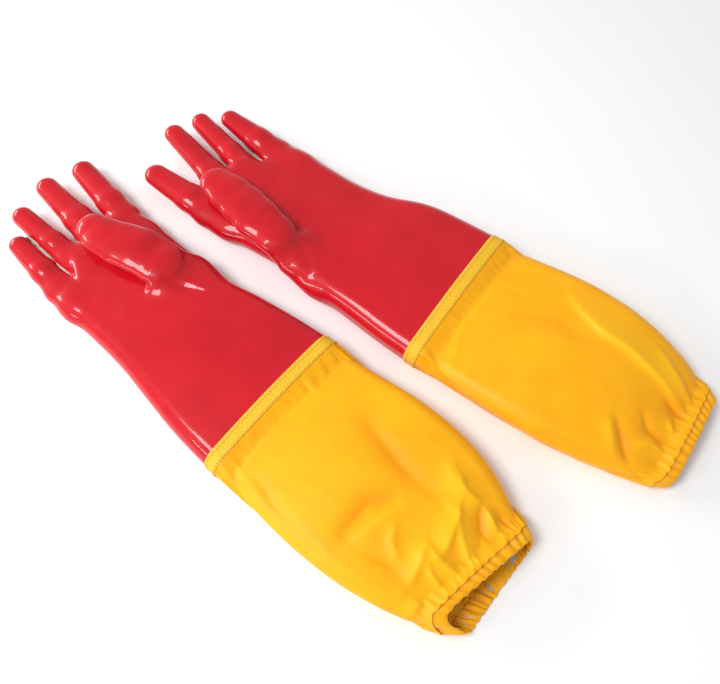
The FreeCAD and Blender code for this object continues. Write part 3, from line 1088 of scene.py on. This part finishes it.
def make_sleeve(glove):
    points, rise = sleeve_form(glove)
    points = settle(glove, points)
    points[..., 2] = np.maximum(points[..., 2], 0.7)
    layer, faces, weave = cloth_layer(points, CLOTH, AROUND, ALONG)
    layer[:, 2] = np.maximum(layer[:, 2], BENCH_GAP)
    # The weave's third number is the folds' height, which the cloth's finish turns into painted shade in the
    # valleys.
    weave[:, 2] = np.tile(rise.ravel(), 2)
    piece = new_piece(f"{glove.name}_sleeve_soft", glove, layer, faces, YELLOW)
    carry(piece, "weave", weave)
    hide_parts(f"{glove.name}_sleeve")
    join, below = glove.out([(0, SLEEVE, 0), (0, SLEEVE - 30, 0)])
    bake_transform(piece)
    seam = np.concatenate([points[:, 0], sheet_normals(points)[:, 0]], 1)[2:-1]
    name, node = f"{glove.name}_side_seam_stitches", f"{glove.name}_side_seam_stitching"
    sewn = sewn_row(name, glove, seam, STITCH_PITCH, node)
    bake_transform(sewn)
    glove.cuff = points[0], sheet_normals(points)[0]
    print(piece.name, len(layer), "points")


for glove in gloves.values():
    make_sleeve(glove)

# %% [markdown]
# ## The gathered hem
#
# The sleeve's end is folded inwards over an elastic and sewn down. The elastic draws the casing into small
# tight pleats, round on their crests and pinched between, on the outside and on the inside alike. The
# casing is swept round the cuff as a long thin loop, and each point is pushed out or in by its pleat.

# %% Make the hems
HEM_COUNT = 8 * PLEATS
HEM_THICK = 3.4
HEM_PROFILE = 26
HEM_PITCH = 3.0
TAPE = 0.3
TAPE_AROUND, TAPE_ALONG = 240, 10  # the width and length that the tape's weave is drawn over


def make_hem(glove):
    fraction = np.arange(HEM_COUNT) / HEM_COUNT
    cuff, out = glove.cuff
    rough = np.arange(len(cuff) + 1) / len(cuff)

    def read(table):
        closed = np.concatenate([table, table[:1]])
        return np.stack([np.interp(fraction, rough, closed[:, k]) for k in range(3)], 1)

    seam = read(cuff)
    on_top = around_top(fraction)
    lower = np.array([ring(glove, v, HEM_COUNT, 0.2)[0] for v in (0.0, HEM)])
    depth = HEM + (TOP_DEPTH - HEM) * on_top
    down = (lower[0] - lower[1]) * (1, 0, 1) * (depth / HEM)[:, None]
    down[:, 1] = mouth(glove, seam[:, 0], fraction) - seam[:, 1]
    side = read(out)
    side = side - down * (np.sum(side * down, 1) / np.sum(down * down, 1))[:, None]
    side /= np.linalg.norm(side, axis=1, keepdims=True)
    loop = np.linspace(0, 2 * np.pi, HEM_PROFILE, endpoint=False)
    points = np.zeros((HEM_PROFILE, HEM_COUNT, 3))
    for k, turn in enumerate(loop):
        deep = 0.5 - 0.5 * math.cos(turn)
        crest = pleated(fraction, 0.9 * deep)
        plump = 0.5 + 0.65 * crest
        push = math.sin(turn) * HEM_THICK / 2 * (1 - 0.25 * math.cos(turn)) * plump
        reach = deep * (1.0 + 0.09 * (crest - 0.6))
        points[k] = seam + down * reach[:, None] + side * (push - HEM_THICK / 2)[:, None]
    points[..., 2] = np.maximum(points[..., 2], 0.5)
    flat = points.reshape(-1, 3)
    faces = []
    for r in range(HEM_PROFILE):
        for c in range(HEM_COUNT):
            d, s = (c + 1) % HEM_COUNT, (r + 1) % HEM_PROFILE
            faces.append((r * HEM_COUNT + c, s * HEM_COUNT + c, s * HEM_COUNT + d, r * HEM_COUNT + d))
    piece = new_piece(f"{glove.name}_hem_casing_soft", glove, flat, faces, YELLOW)
    weave = np.stack(np.meshgrid(np.arange(HEM_PROFILE) * 1.4, fraction * AROUND, indexing="ij")[::-1], -1)
    carry(piece, "weave", np.concatenate([weave.reshape(-1, 2), np.zeros((len(flat), 1))], 1))
    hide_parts(f"{glove.name}_hem_casing")
    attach(piece, f"{glove.name}_sleeve")
    core = seam + down * 0.25 - side * (HEM_THICK / 2 - 0.1)
    strip = np.stack([core + down * t for t in np.linspace(0, 0.5, 5)])
    strip[..., 2] = np.maximum(strip[..., 2], 1.2)
    layer, faces, weave = cloth_layer(strip, TAPE, TAPE_AROUND, TAPE_ALONG)
    tape = new_piece(f"{glove.name}_hem_elastic_tape", glove, layer, faces, ELASTIC)
    carry(tape, "weave", weave)
    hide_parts(f"{glove.name}_hem_elastic")
    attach(tape, f"{glove.name}_sleeve")
    crest = pleated(fraction, 0.1)
    line = seam + down * 0.16 + side * (1.15 * (0.5 + 0.65 * crest) - HEM_THICK / 2 + 0.1)[:, None]
    line[:, 2] = np.maximum(line[:, 2], 0.6)
    row = np.concatenate([line, side], 1)
    name, node = f"{glove.name}_hem_stitches", f"{glove.name}_hem_stitching"
    sewn = sewn_row(name, glove, np.concatenate([row, row[:1]]), HEM_PITCH, node)
    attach(sewn, f"{glove.name}_sleeve")
    print(piece.name, len(flat), "points, mouth from", points[..., 1].min().round(1))


for glove in gloves.values():
    make_hem(glove)

# %% [markdown]
# ## Bench, light and camera
#
# The gloves lie on a plain white bench in soft daylight that comes from the fingers' side. A large soft
# light gives the skin its long highlights, and a bright surround fills the shade.

# %% Bench and lights


def white_bench():
    f = Finish("white_bench")
    f.set(Base_Color=f.mix(f.noise(300, 2.0), (0.93, 0.93, 0.94, 1), (0.96, 0.96, 0.96, 1)), Roughness=0.9)
    return f.material


bench_mesh = bpy.data.meshes.new("bench")
bench_mesh.from_pydata([(-6, -6, 0), (6, -6, 0), (6, 6, 0), (-6, 6, 0)], [], [(0, 1, 2, 3)])
bench_mesh.materials.append(white_bench())
bench = bpy.data.objects.new("bench", bench_mesh)
bpy.context.scene.collection.objects.link(bench)

world = bpy.data.worlds.new("daylight")
world.use_nodes = True
world.node_tree.nodes["Background"].inputs["Color"].default_value = (1, 1, 1, 1)
world.node_tree.nodes["Background"].inputs["Strength"].default_value = 0.54
bpy.context.scene.world = world


def soft_light(name, place, target, size, watts):
    data = bpy.data.lights.new(name, "AREA")
    data.shape = "RECTANGLE"
    data.size, data.size_y = size
    data.energy = watts
    light = bpy.data.objects.new(name, data)
    light.location = place
    light.rotation_mode = "QUATERNION"
    light.rotation_quaternion = (Vector(target) - Vector(place)).to_track_quat("-Z", "Y")
    bpy.context.scene.collection.objects.link(light)


soft_light("window", (-1.5, 0.35, 0.66), (0, 0, 0), (0.8, 0.12), 5)
soft_light("far_window", (-0.5, 1.9, 0.7), (0, 0, 0), (1.2, 0.3), 16)
soft_light("sky", (-0.9, 0.5, 1.7), (0, 0, 0), (0.7, 0.7), 23)

# %% Camera
ELEVATION = math.radians(63.7)
AHEAD = np.array([0.792, 0.611, 0.0])
right = gloves["right"]
target = right.hem + np.array([0.1177, 0.2430, 0.0])
camera_place = target - AHEAD * 0.3341 + UP * 0.676
lens = bpy.data.cameras.new("camera")
lens.lens = 37.25
lens.sensor_width = 36.0
camera = bpy.data.objects.new("camera", lens)
camera.location = camera_place
camera.rotation_mode = "QUATERNION"
camera.rotation_quaternion = Vector(target - camera_place).to_track_quat("-Z", "Y")
bpy.context.scene.collection.objects.link(camera)
bpy.context.scene.camera = camera
bpy.context.scene.view_settings.view_transform = "Standard"
